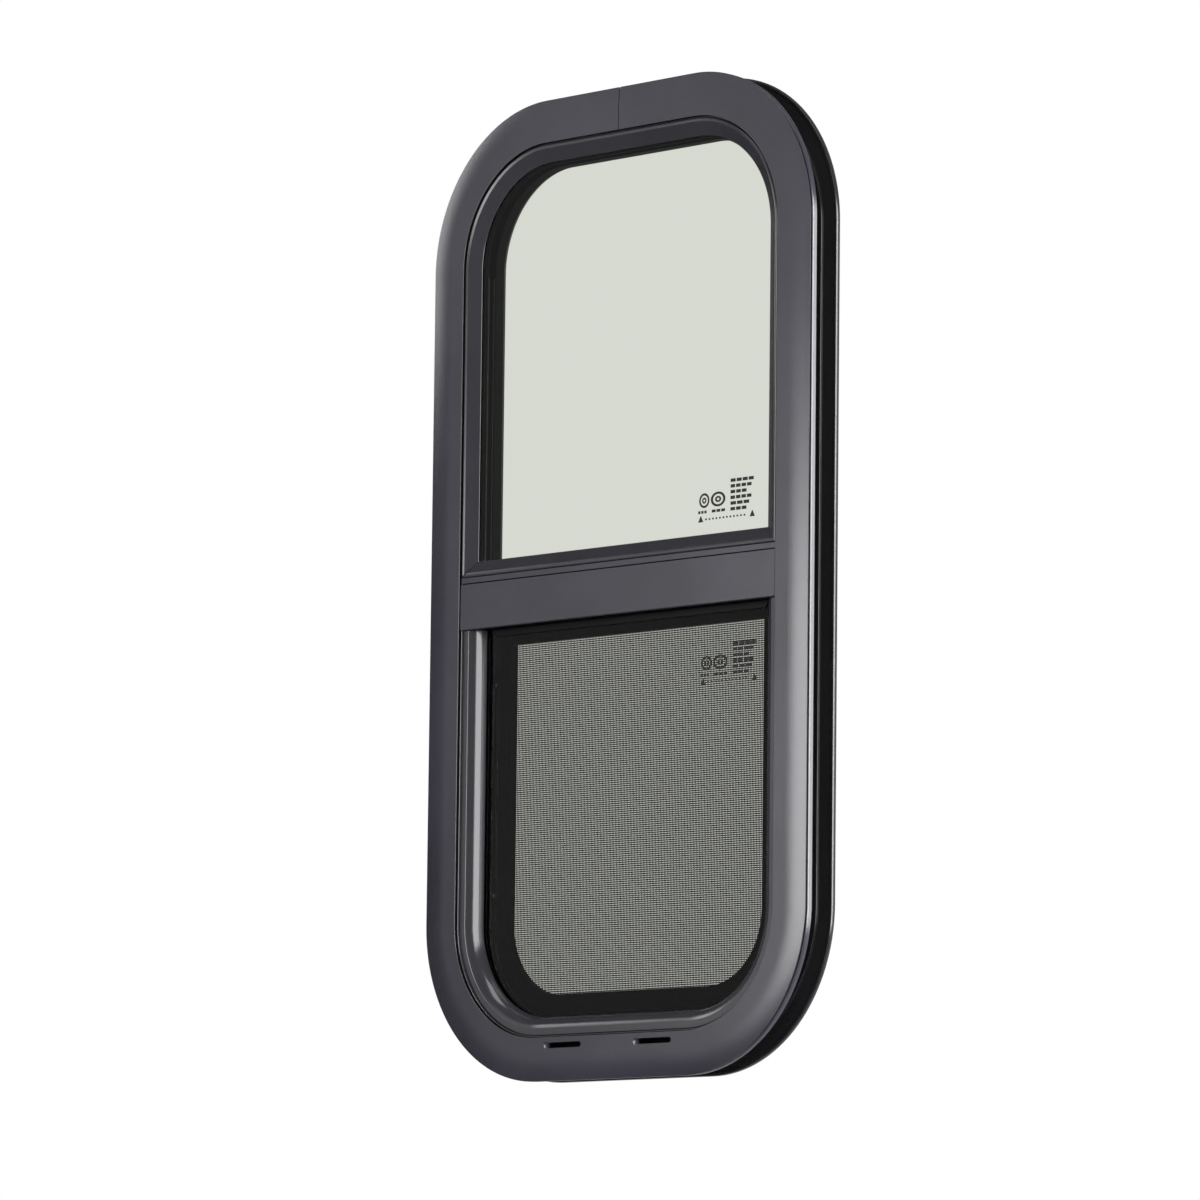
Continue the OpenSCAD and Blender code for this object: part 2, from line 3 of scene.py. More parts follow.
import bmesh
import bpy
import numpy as np
from mathutils import Matrix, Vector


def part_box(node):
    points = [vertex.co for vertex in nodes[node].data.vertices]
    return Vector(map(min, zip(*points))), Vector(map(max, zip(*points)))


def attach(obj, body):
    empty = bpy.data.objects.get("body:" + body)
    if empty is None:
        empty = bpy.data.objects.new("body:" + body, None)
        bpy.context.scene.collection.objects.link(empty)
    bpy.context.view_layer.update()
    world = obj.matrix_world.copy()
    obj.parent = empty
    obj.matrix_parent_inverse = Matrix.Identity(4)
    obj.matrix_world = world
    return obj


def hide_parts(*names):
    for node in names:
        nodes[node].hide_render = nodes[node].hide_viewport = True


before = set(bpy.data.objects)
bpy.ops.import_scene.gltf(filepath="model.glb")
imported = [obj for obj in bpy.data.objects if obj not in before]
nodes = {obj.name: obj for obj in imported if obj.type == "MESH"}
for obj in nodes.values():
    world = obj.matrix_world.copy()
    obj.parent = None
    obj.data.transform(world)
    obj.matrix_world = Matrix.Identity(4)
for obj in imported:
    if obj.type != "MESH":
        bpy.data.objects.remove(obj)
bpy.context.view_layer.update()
print("frame loaded with", len(nodes), "nodes")

mm = 0.001

# The window's outline is two rows of corner centres with quarter turns of a section round them.
# A section is drawn as (r, z): r is the distance from a corner's centre, z the height over the
# wall's face towards the outside. Both are in millimetres, as in the part's source.
frameLow, frameHigh = (np.array(corner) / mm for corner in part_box("outer_frame"))
cornerR = 108.0
cornerSteps = 36                # stations on each quarter turn
middle = (frameLow[2] + frameHigh[2]) / 2
face = -frameLow[1]             # height of the flange's face
centreX = frameHigh[0] - cornerR
centreY = (frameHigh[2] - frameLow[2]) / 2 - cornerR

# Arrises of all sections: largest shares of an edge that the arris and its guard point take, the
# turn that counts as a full arris where edges are rubbed, and the turn from which an edge is sharp
arrises = {"steps": 3, "reachShare": 0.4, "guardGap": 0.12, "guardShare": 0.46,
           "fullTurn": math.radians(25), "sharpTurn": math.radians(34)}
# Copies: points nearer than the gap become one, and faces that turn less become one
eased = {"mergeGap": 0.02, "flatTurn": math.radians(1), "flatWeight": 100}


def softened(points, radius):
    # Each corner P of a closed outline becomes (1-t)^2 A + 2t(1-t) P + t^2 C, where A and C lie
    # back along its two edges by the radius, or by a share of the edge where that is less. A guard
    # point a little farther back on each side keeps the flat faces' shading flat.
    p = np.array(points, float)
    ends, guards = [], []
    for shift in (1, -1):
        edge = np.roll(p, shift, axis=0) - p
        length = np.linalg.norm(edge, axis=1, keepdims=True)
        reach = np.minimum(np.reshape(radius, (-1, 1)), arrises["reachShare"] * length)
        guard = np.minimum(reach + arrises["guardGap"], arrises["guardShare"] * length)
        ends.append(p + edge / length * reach)
        guards.append(p + edge / length * guard)
    t = np.linspace(0, 1, arrises["steps"] + 1)[None, :, None]
    curve = ((1 - t) ** 2 * ends[0][:, None] + 2 * t * (1 - t) * p[:, None]
             + t ** 2 * ends[1][:, None])
    return np.concatenate([guards[0][:, None], curve, guards[1][:, None]], axis=1).reshape(-1, 2)


def arrisWeight(section):
    # How much each section point bulges: the turn between its two edges on the outer side of the
    # outline, as a share of the turn that counts as full
    after = np.roll(section, -1, axis=0) - section
    before = section - np.roll(section, 1, axis=0)
    turn = np.arctan2(before[:, 0] * after[:, 1] - before[:, 1] * after[:, 0],
                      (before * after).sum(axis=1))
    return np.clip(turn * np.sign(turn.sum()) / arrises["fullTurn"], 0, 1)


def quarterTurn(centre, startAngle):
    # Centres and outward directions of the stations on one corner
    angle = startAngle + np.linspace(0, math.pi / 2, cornerSteps + 1)
    return np.tile(centre, (len(angle), 1)), np.stack([np.cos(angle), np.sin(angle)], axis=1)


def pathRound():
    # All four corners; the straight sides are the spans between them
    x, y = centreX, centreY
    turns = [quarterTurn(centre, k * math.pi / 2)
             for k, centre in enumerate(((x, y), (-x, y), (-x, -y), (x, -y)))]
    return np.concatenate([t[0] for t in turns]), np.concatenate([t[1] for t in turns])


def pathOver(side, endHeight):
    # Up one side from endHeight, round the two top corners and down; side -1 turns it upside down
    x, y = centreX, centreY
    first, second = quarterTurn((x, y), 0), quarterTurn((-x, y), math.pi / 2)
    start, end = np.array([[x, side * endHeight]]), np.array([[-x, side * endHeight]])
    centres = np.concatenate([start, first[0], second[0], end])
    directions = np.concatenate([[[1, 0]], first[1], second[1], [[-1, 0]]])
    flip = np.array([1, side])
    return centres * flip, directions * flip


def placed(x, y, z):
    # From the lying drawing to the standing part, in metres: the section's height points to -Y
    return np.stack(np.broadcast_arrays(x, -z, y + middle), axis=-1) * mm


def carried(section, path):
    # Point (station, k) = the station's centre + r of section point k along its outward direction
    centres, directions = path
    r, z = section[:, 0], section[:, 1]
    x = centres[:, :1] + directions[:, :1] * r
    y = centres[:, 1:] + directions[:, 1:] * r
    return placed(x, y, z[None, :])


def gridFaces(rows, columns, ringRows, ringColumns):
    # Quads between neighbouring rows and columns, with the last joined to the first on a ring
    i = np.arange(rows if ringRows else rows - 1)[:, None]
    j = np.arange(columns if ringColumns else columns - 1)[None, :]
    iNext, jNext = (i + 1) % rows, (j + 1) % columns
    corners = np.broadcast_arrays(i * columns + j, i * columns + jNext,
                                  iNext * columns + jNext, iNext * columns + j)
    return np.stack(corners, axis=-1).reshape(-1, 4)


def tubeFaces(rows, around, start=0):
    # A grid that runs round, closed with one face at each end
    end = start + rows * around
    return (gridFaces(rows, around, False, True) + start).tolist() + [
        list(range(start, start + around)), list(range(end - around, end))]


def newObject(name, data):
    made = bpy.data.objects.new(name, data)
    bpy.context.scene.collection.objects.link(made)
    return made


def newMesh(name, points, faces):
    mesh = bpy.data.meshes.new(name)
    mesh.from_pydata(np.reshape(points, (-1, 3)).tolist(), [], faces)
    return mesh


def readRows(items, key, size, kind=float):
    # One value of every vertex, edge or face, a row each
    values = np.empty(len(items) * size, kind)
    items.foreach_get(key, values)
    return values.reshape(-1, size)


def finishMesh(mesh, sharpTurn=arrises["sharpTurn"]):
    shell = bmesh.new()
    shell.from_mesh(mesh)
    bmesh.ops.recalc_face_normals(shell, faces=shell.faces)
    shell.to_mesh(mesh)
    shell.free()
    mesh.shade_smooth()
    mesh.set_sharp_from_angle(angle=sharpTurn)


def addPiece(name, mesh, look, slotName="", *stoodFor):
    piece = newObject(name, mesh)
    mesh.materials.append(finishes[look])
    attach(piece, "root")
    if stoodFor:
        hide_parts(*stoodFor)
    return piece


def sweptPiece(name, points, closed, section, *dress):
    # A section that has been carried along a path; dress is what addPiece takes after the mesh
    rows, columns = points.shape[:2]
    if closed:
        faces = gridFaces(rows, columns, True, True).tolist()
    else:
        faces = tubeFaces(rows, columns)
    mesh = newMesh(name, points, faces)
    weight = mesh.attributes.new("arris", "FLOAT", "POINT")
    weight.data.foreach_set("value", np.tile(arrisWeight(section), rows))
    finishMesh(mesh)
    return addPiece(name, mesh, *dress)


def easedCopy(name, nodeName, look, slotName, width, segments):
    # The CAD node's own shape with its arrises rounded
    mesh = nodes[nodeName].data.copy()
    mesh.materials.clear()
    shell = bmesh.new()
    shell.from_mesh(mesh)
    bmesh.ops.remove_doubles(shell, verts=shell.verts, dist=eased["mergeGap"] * mm)
    bmesh.ops.dissolve_limit(shell, angle_limit=eased["flatTurn"],
                             verts=shell.verts, edges=shell.edges)
    shell.to_mesh(mesh)
    shell.free()
    mesh.shade_smooth()
    piece = addPiece(name, mesh, look, slotName, nodeName)
    arris = piece.modifiers.new("arris", "BEVEL")
    arris.width = width * mm
    arris.segments = segments
    arris.limit_method = "ANGLE"
    arris.angle_limit = arrises["sharpTurn"]
    flats = piece.modifiers.new("flats", "WEIGHTED_NORMAL")
    flats.weight = eased["flatWeight"]
    return piece


# Effects that several finishes share

def newGroup(name, inputs, outputs):
    # A node group whose sockets are all plain numbers
    group = bpy.data.node_groups.new(name, "ShaderNodeTree")
    for label, value in inputs.items():
        socket = group.interface.new_socket(label, in_out="INPUT", socket_type="NodeSocketFloat")
        socket.default_value = value
    for label in outputs:
        group.interface.new_socket(label, in_out="OUTPUT", socket_type="NodeSocketFloat")
    return group, group.nodes.new("NodeGroupInput"), group.nodes.new("NodeGroupOutput")


def addNode(tree, kind, values=None, **settings):
    made = tree.nodes.new("ShaderNode" + kind)
    for key, value in settings.items():
        setattr(made, key, value)
    for key, value in (values or {}).items():
        made.inputs[key].default_value = value
    return made


def addMath(tree, operation, values=None, **settings):
    return addNode(tree, "Math", values, operation=operation, **settings)


def wire(tree, *joins):
    # Each join: a node, its output, the next node and that one's input
    for source, output, target, given in joins:
        tree.links.new(source.outputs[output], target.inputs[given])


def coatGrainGroup():
    # Two noises: the fine pimples of a baked powder coat, and slow drifts of tone
    group, given, made = newGroup("coatGrain", {"Grain Scale": 900.0, "Drift Scale": 14.0},
                                  ("Height", "Drift"))
    place = addNode(group, "TexCoord")
    fine = addNode(group, "TexNoise", {"Detail": 2.0, "Roughness": 0.6})
    slow = addNode(group, "TexNoise", {"Detail": 4.0, "Roughness": 0.55})
    wire(group, (place, "Object", fine, "Vector"), (place, "Object", slow, "Vector"),
         (given, "Grain Scale", fine, "Scale"), (given, "Drift Scale", slow, "Scale"),
         (fine, "Fac", made, "Height"), (slow, "Fac", made, "Drift"))
    return group


def patchyGroup(name, patchScale, noise, spread):
    # Mask = amount x patches x what is joined to the first input of the node that is given back
    group, given, made = newGroup(name, {"Amount": 0.5, "Patch Scale": patchScale}, ("Mask",))
    place = addNode(group, "TexCoord")
    patch = addNode(group, "TexNoise", noise)
    clumps = addNode(group, "MapRange", spread)
    both = addMath(group, "MULTIPLY")
    scaled = addMath(group, "MULTIPLY")
    wire(group, (place, "Object", patch, "Vector"), (given, "Patch Scale", patch, "Scale"),
         (patch, "Fac", clumps, "Value"), (clumps, "Result", both, 1),
         (both, "Value", scaled, 0), (given, "Amount", scaled, 1), (scaled, "Value", made, "Mask"))
    return group, both


def rubbedEdgeGroup():
    # The swept pieces carry a weight on their arrises, which the noise breaks up into rubbed spots
    group, both = patchyGroup("rubbedEdge", 45.0, {"Detail": 5.0, "Roughness": 0.7},
                              {"From Min": 0.4, "From Max": 0.68})
    arris = addNode(group, "Attribute", attribute_name="arris")
    wire(group, (arris, "Fac", both, 0))
    return group


def settledDustGroup():
    # More on what faces up, in soft patches
    group, both = patchyGroup("settledDust", 30.0, {"Detail": 6.0, "Roughness": 0.65},
                              {"From Min": 0.4, "From Max": 0.7})
    shape = addNode(group, "NewGeometry")
    parts = addNode(group, "SeparateXYZ")
    upward = addNode(group, "MapRange", {"From Min": -0.2, "From Max": 1.0, "To Min": 0.15})
    wire(group, (shape, "Normal", parts, "Vector"), (parts, "Z", upward, "Value"),
         (upward, "Result", both, 0))
    return group


coatGrain = coatGrainGroup()
rubbedEdge = rubbedEdgeGroup()
settledDust = settledDustGroup()


def blank(name, values):
    material = bpy.data.materials.new(name)
    material.use_nodes = True
    tree = material.node_tree
    tree.nodes.clear()
    shader = addNode(tree, "BsdfPrincipled", values)
    output = addNode(tree, "OutputMaterial")
    wire(tree, (shader, "BSDF", output, "Surface"))
    return material, tree, shader, output


def mixedColour(tree, below, above, factor):
    # below and above are sockets, colours or greys
    mix = addNode(tree, "Mix", data_type="RGBA")
    for index, colour in ((6, below), (7, above)):
        if isinstance(colour, float):
            colour = (colour, colour, colour)
        if isinstance(colour, tuple):
            mix.inputs[index].default_value = (*colour, 1)
        else:
            tree.links.new(colour, mix.inputs[index])
    tree.links.new(factor, mix.inputs[0])
    return mix.outputs[2]


def finish(name, look):
    # One builder for coats, rubbers, plastics and steel: tone drift, rubbed edges, dust, grain
    material, tree, shader, _ = blank(name, {
        "Metallic": look["metallic"], "Specular IOR Level": look["specular"]})
    grain = addNode(tree, "Group", {"Grain Scale": look["grain"], "Drift Scale": look["drift"]},
                    node_tree=coatGrain)
    rub = addNode(tree, "Group", {"Amount": look["rub"]}, node_tree=rubbedEdge)
    dust = addNode(tree, "Group", {"Amount": look["dust"]}, node_tree=settledDust)
    tone = mixedColour(tree, look["dark"], look["light"], grain.outputs["Drift"])
    worn = mixedColour(tree, tone, look["worn"], rub.outputs["Mask"])
    dusty = mixedColour(tree, worn, look["dustTone"], dust.outputs["Mask"])
    tree.links.new(dusty, shader.inputs["Base Color"])
    sheen = addNode(tree, "MapRange", {"To Min": look["smooth"], "To Max": look["rough"]})
    bump = addNode(tree, "Bump", {"Strength": look["bump"], "Distance": look["depth"] * mm})
    wire(tree, (grain, "Drift", sheen, "Value"), (sheen, "Result", shader, "Roughness"),
         (grain, "Height", bump, "Height"), (bump, "Normal", shader, "Normal"))
    return material


# What a finish doesn't say for itself. A colour that is one number is a grey.
plainLook = {"dustTone": (0.16, 0.155, 0.15), "dust": 0.06, "grain": 1300.0,
             "drift": 8.0, "bump": 0.3, "depth": 0.06, "rub": 0.2, "specular": 0.5,
             "metallic": 0.0}
looks = {
    "frameCoat": {"dark": (0.014, 0.013, 0.018), "light": (0.066, 0.062, 0.084),
                  "worn": (0.11, 0.11, 0.12), "dust": 0.05, "smooth": 0.14, "rough": 0.21,
                  "grain": 850.0, "drift": 6.0, "bump": 0.8, "rub": 0.5,
                  "specular": 1.0},
    "ringCoat": {"dark": (0.013, 0.013, 0.014), "light": (0.018, 0.018, 0.020),
                 "worn": (0.10, 0.10, 0.105), "smooth": 0.13, "rough": 0.19,
                 "drift": 6.0, "bump": 0.5, "depth": 0.05, "rub": 0.6, "specular": 0.8},
    # Painted shade: the rail lies under the crossbar, so its coat is near-black for the shadow it
    # sits in
    "railCoatInShade": {"dark": (0.005, 0.005, 0.006), "light": (0.008, 0.008, 0.009),
                 "worn": (0.07, 0.07, 0.075), "dustTone": (0.14, 0.135, 0.13), "dust": 0.05,
                 "smooth": 0.32, "rough": 0.42, "bump": 0.5, "depth": 0.05, "specular": 0.15},
    "screenCoat": {"dark": (0.0050, 0.0047, 0.0065), "light": (0.0075, 0.0070, 0.0090),
                   "worn": 0.05, "dustTone": (0.12, 0.115, 0.11),
                   "smooth": 0.32, "rough": 0.44, "bump": 0.35, "rub": 0.3, "specular": 0.12},
    "beadRubber": {"dark": (0.034, 0.032, 0.039), "light": (0.046, 0.044, 0.053),
                   "worn": (0.07, 0.07, 0.075), "dustTone": (0.15, 0.145, 0.14),
                   "dust": 0.07, "smooth": 0.14, "rough": 0.21, "grain": 1600.0,
                   "drift": 12.0, "depth": 0.03, "specular": 1.0},
    "rubber": {"dark": 0.009, "light": 0.014,
               "worn": 0.03, "dustTone": (0.12, 0.115, 0.11), "smooth": 0.5,
               "rough": 0.65, "grain": 1500.0, "drift": 22.0, "bump": 0.25},
    # Painted shade: matt black for faces that wear the frame's coat but lie in shade
    "paintedShadeBlack": {"dark": 0.003, "light": 0.005,
               "worn": 0.02, "dustTone": (0.08, 0.075, 0.07), "dust": 0.04,
               "smooth": 0.6, "rough": 0.75, "rub": 0.1, "specular": 0.08},
    "printInk": {"dark": 0.004, "light": 0.008,
                 "worn": 0.03, "dustTone": 0.1, "dust": 0.01,
                 "smooth": 0.4, "rough": 0.55, "grain": 3000.0, "drift": 90.0,
                 "bump": 0.2, "depth": 0.02, "rub": 0.0},
    "foam": {"dark": 0.005, "light": 0.010,
             "worn": 0.02, "dustTone": (0.10, 0.095, 0.09), "dust": 0.05,
             "smooth": 0.85, "rough": 0.98, "grain": 900.0, "drift": 30.0,
             "bump": 0.8, "depth": 0.5, "rub": 0.0},
    "pile": {"dark": 0.012, "light": 0.03,
             "worn": 0.04, "dustTone": (0.16, 0.15, 0.13), "dust": 0.2,
             "smooth": 0.9, "rough": 1.0, "grain": 2600.0, "drift": 40.0,
             "bump": 0.9, "depth": 0.6, "rub": 0.0},
    "latchPlastic": {"dark": (0.012, 0.012, 0.013), "light": (0.020, 0.020, 0.021),
                     "worn": 0.05, "dustTone": (0.16, 0.15, 0.13),
                     "dust": 0.08, "smooth": 0.35, "rough": 0.5, "grain": 1800.0,
                     "drift": 20.0, "depth": 0.05},
    "steel": {"dark": (0.42, 0.42, 0.43), "light": (0.58, 0.58, 0.59),
              "worn": 0.7, "dustTone": (0.2, 0.19, 0.17), "dust": 0.08,
              "smooth": 0.25, "rough": 0.42, "grain": 2500.0, "drift": 60.0,
              "bump": 0.15, "depth": 0.03, "rub": 0.0, "metallic": 1.0},
    "blackSteel": {"dark": (0.014, 0.014, 0.015), "light": (0.024, 0.024, 0.025),
                   "worn": 0.16, "dustTone": (0.2, 0.19, 0.17), "dust": 0.08,
                   "smooth": 0.28, "rough": 0.44, "grain": 2500.0, "drift": 60.0,
                   "bump": 0.15, "depth": 0.03, "rub": 0.5},
    "screenThread": {"dark": (0.009, 0.010, 0.008), "light": (0.015, 0.016, 0.014),
                     "worn": (0.08, 0.08, 0.07), "dustTone": (0.12, 0.115, 0.10),
                     "dust": 0.1, "smooth": 0.55, "rough": 0.7, "grain": 3000.0,
                     "drift": 40.0, "bump": 0.1, "depth": 0.02, "rub": 0.0,
                     "specular": 0.2},
}
finishes = {name: finish(name, {**plainLook, **look}) for name, look in looks.items()}


def tintedGlass():
    # Clear body tinted grey-green, with faint patches of haze in its tone and smoothness
    glass = {"tint": (0.705, 0.725, 0.662), "haze": (0.695, 0.715, 0.652), "ior": 1.3,
             "shine": 0.15, "patchScale": 5.0, "smooth": 0.0, "rough": 0.015}
    material, tree, shader, _ = blank("tintedGlass", {
        "Transmission Weight": 1.0, "IOR": glass["ior"], "Specular IOR Level": glass["shine"]})
    place = addNode(tree, "TexCoord")
    patch = addNode(tree, "TexNoise", {"Scale": glass["patchScale"], "Detail": 5.0})
    wipe = addNode(tree, "MapRange", {"To Min": glass["smooth"], "To Max": glass["rough"]})
    wire(tree, (place, "Object", patch, "Vector"), (patch, "Fac", wipe, "Value"),
         (wipe, "Result", shader, "Roughness"))
    tone = mixedColour(tree, glass["tint"], glass["haze"], patch.outputs["Fac"])
    tree.links.new(tone, shader.inputs["Base Color"])
    return material


paneGlass = tintedGlass()
print("finishes made:", len(finishes) + 1)

# Outer frame: flange, leg, track and the lands of the hidden side
outerFrame = {
    "flangeWidth": 29.0, "flatWidth": 11.5, "crownDrop": 1.0, "crownBreak": 0.05, "crownSteps": 12,
    "flangeThickness": 1.8, "lipThickness": 3.0, "pocket": 7.0, "legThickness": 1.5,
    "landWidth": 5.5, "throatInset": 42.4, "ribThickness": 1.4, "trackDepth": 9.3,
    "paneFront": 0.5, "paneThickness": 4.0, "tape": 0.5, "sashGap": 1.6, "sashBackGap": 1.0,
    "edgeInside": 1.0, "back": -19.8, "edgeGroove": 1.6, "grooveTop": 0.4, "grooveWidth": 1.7,
    "ridgeWidth": 1.6, "ridgeStep": 0.3, "ridgeFall": 0.5, "edgeFall": 0.45, "arris": 0.25,
}

# The lines that the other pieces share, worked out from the frame's own sizes
under = face - outerFrame["crownDrop"] - outerFrame["flangeThickness"]
flangeIn = cornerR - outerFrame["flangeWidth"]
legIn = flangeIn + outerFrame["pocket"]
legOut = legIn + outerFrame["legThickness"]
landOut = legOut + outerFrame["landWidth"]
throat = cornerR - outerFrame["throatInset"]
trackFloor = throat + outerFrame["trackDepth"]
ribTop = outerFrame["paneFront"] - outerFrame["paneThickness"] - outerFrame["tape"]
ribLow = ribTop - outerFrame["ribThickness"]
sashFront = ribLow - outerFrame["sashGap"]
midTop = sashFront - outerFrame["paneThickness"] - outerFrame["sashBackGap"]
midLow = midTop - outerFrame["ribThickness"]


def frameSection():
    # From the crease the face falls in a parabola with a slight break; the rest is straight walls
    f = outerFrame
    t = np.linspace(0, 1, f["crownSteps"] + 1)
    fall = f["crownBreak"] * t + (1 - f["crownBreak"]) * t ** 2
    crown = zip(cornerR - (f["flangeWidth"] - f["flatWidth"]) * (1 - t),
                face - f["crownDrop"] * fall)
    top = face - f["crownDrop"] - f["grooveTop"]
    low = top - f["grooveWidth"]
    ridge, lip, groove = (cornerR - f[key] for key in ("ridgeStep", "lipThickness", "edgeGroove"))
    back, land = f["back"], throat + f["ribThickness"]
    corners = [
        (flangeIn, under), (flangeIn, face), *crown, (cornerR, top), (groove, top), (groove, low),
        (cornerR - f["ridgeFall"], low - f["ridgeStep"]), (cornerR, low - f["ridgeWidth"]),
        (ridge - f["edgeFall"], low - f["ridgeWidth"]), (ridge, 0), (lip, 0), (lip, under),
        (landOut, under), (landOut, 0), (legOut, 0), (legOut, back), (legIn, back),
        (legIn, midLow), (land, midLow), (land, back), (throat, back), (throat, midTop),
        (trackFloor, midTop), (trackFloor, ribLow), (throat, ribLow), (throat, ribTop),
        (legIn, ribTop), (legIn, under)]
    return softened(corners, f["arris"])


# Weep slots, with (depth under the face, flare as a share of the rim), and the dent beside each
weeps = {"offset": 42.0, "width": 32.0, "height": 3.5, "lift": 0.2, "around": 48, "rim": 0.5,
         "flare": ((-1.0, 1.4), (0.1, 0.3), (0.25, 0.1), (0.5, 0.0)), "past": 1.0,
         "dent": 2.4, "dentDepth": 0.22, "dentOff": 0.4, "dentAround": 32, "dentTip": 0.01,
         "dentShares": (0.01, 0.3, 0.6, 0.85, 1.1), "rimGap": 0.08, "rimDepth": 0.03}
weepY = -(centreY + legIn - weeps["height"] / 2 + weeps["lift"])
dentXs = [side * weeps["offset"] - weeps["width"] / 2 - weeps["dentOff"] for side in (-1, 1)]
seam = {"width": 0.7, "depth": 0.8, "past": 1.0}
# How far the centre of a face may lie past the line it is sorted by
sortGap, fineGap = 0.1, 0.02


def cutOut(target, cutter):
    # Takes the cutter's shape out of the piece's mesh for good
    modifier = target.modifiers.new("cut", "BOOLEAN")
    modifier.object = cutter
    modifier.operation = "DIFFERENCE"
    modifier.solver = "EXACT"
    graph = bpy.context.evaluated_depsgraph_get()
    cut = bpy.data.meshes.new_from_object(target.evaluated_get(graph))
    target.modifiers.clear()
    old = target.data
    target.data = cut
    cut.name = old.name
    bpy.data.meshes.remove(old)
    bpy.data.objects.remove(cutter)
    cut.shade_smooth()
    cut.set_sharp_from_angle(angle=arrises["sharpTurn"])


def cutterOf(shells):
    # One object from grids that run round and are closed at both ends
    faces, first = [], 0
    for shell in shells:
        rows, around = shell.shape[:2]
        faces += tubeFaces(rows, around, first)
        first += rows * around
    mesh = newMesh("cutter", np.concatenate([shell.reshape(-1, 3) for shell in shells]), faces)
    finishMesh(mesh)
    return newObject("cutter", mesh)


def slotCutter():
    # Two stadium shapes, each a grid of angle by depth, that flare at the flange's face
    w = weeps
    angle = np.linspace(0, 2 * math.pi, w["around"], endpoint=False)
    below, flare = np.array(w["flare"]).T
    height = np.append(face - below, under - w["past"])
    radius = w["height"] / 2 + np.append(flare, 0)[:, None] * w["rim"]
    run = (w["width"] - w["height"]) / 2 * np.sign(np.cos(angle))
    return cutterOf([placed(side * w["offset"] + run + radius * np.cos(angle),
                            weepY + radius * np.sin(angle), height[:, None])
                     for side in (-1, 1)])


def dentCutter():
    # The press dented the face at each slot's left end: a cap of a sphere, closed above the face
    w = weeps
    angle = np.linspace(0, 2 * math.pi, w["dentAround"], endpoint=False)
    ball = (w["dent"] ** 2 + w["dentDepth"] ** 2) / (2 * w["dentDepth"])
    out = np.array(w["dentShares"]) * w["dent"]
    floor = face - w["dentDepth"] + ball - np.sqrt(ball ** 2 - out ** 2)
    out, floor = np.append(out, w["dentTip"])[:, None], np.append(floor, face + w["past"])
    return cutterOf([placed(x + out * np.cos(angle), weepY + out * np.sin(angle), floor[:, None])
                     for x in dentXs])


def seamCutter():
    # A thin upright blade across the top of the flange
    half = seam["width"] / 2
    bottom = centreY + flangeIn - seam["past"]
    top = centreY + cornerR + seam["past"]
    height = np.array([[face - outerFrame["crownDrop"] - seam["depth"]], [face + seam["past"]]])
    return cutterOf([placed(np.array([-half, half, half, -half]),
                            np.array([bottom, bottom, top, top]), height)])


def crispDents(piece):
    # Edges that lie on a dent's rim are sharp, so the flange beside it shades flat
    w, mesh = weeps, piece.data
    points = readRows(mesh.vertices, "co", 3) / mm
    ends = readRows(mesh.edges, "vertices", 2, np.int32)
    sharp = np.array([edge.use_edge_sharp for edge in mesh.edges])
    for x in dentXs:
        out = np.hypot(points[:, 0] - x, points[:, 2] - middle - weepY)
        rim = (np.abs(out - w["dent"]) < w["rimGap"]) & (-points[:, 1] > face - w["rimDepth"])
        sharp |= rim[ends].all(axis=1)
    mesh.edges.foreach_set("use_edge_sharp", sharp)


def paintShadeBlack(mesh, chosen):
    # Painted shade: the chosen faces are given a matt black in place of the shade they lie in
    mesh.materials.append(finishes["paintedShadeBlack"])
    mesh.polygons.foreach_set("material_index", chosen.astype(np.int32))


def paintInsideShade(piece):
    # Faces behind the panes' line, the leg's outside under the flange, the walls of the flange's
    # opening and the seam take a matt black that is painted shade: their coat is the frame's own,
    # only unlit
    centre = readRows(piece.data.polygons, "center", 3) / mm
    acrossX = np.maximum(np.abs(centre[:, 0]) - centreX, 0)
    acrossZ = np.maximum(np.abs(centre[:, 2] - middle) - centreY, 0)
    r, height = np.hypot(acrossX, acrossZ), -centre[:, 1]
    leg, edge = legIn + sortGap, cornerR - outerFrame["edgeInside"]
    inside = (r < leg) & (height < ribTop + sortGap)
    inside |= (r > leg) & (r < edge) & (height < under + sortGap)
    inside |= (r < flangeIn + sortGap) & (height < face - outerFrame["arris"] - fineGap)
    inside |= ((np.abs(centre[:, 0]) < seam["width"] / 2 - fineGap)
               & (centre[:, 2] > middle))
    paintShadeBlack(piece.data, inside)


def makeOuterFrame():
    section = frameSection()
    piece = sweptPiece("outerFrame", carried(section, pathRound()), True, section,
                       "frameCoat", "frame_coat", "outer_frame")
    for cutter in (slotCutter, dentCutter, seamCutter):
        cutOut(piece, cutter())
    crispDents(piece)
    paintInsideShade(piece)
    print("outer frame:", len(piece.data.polygons), "faces")


makeOuterFrame()

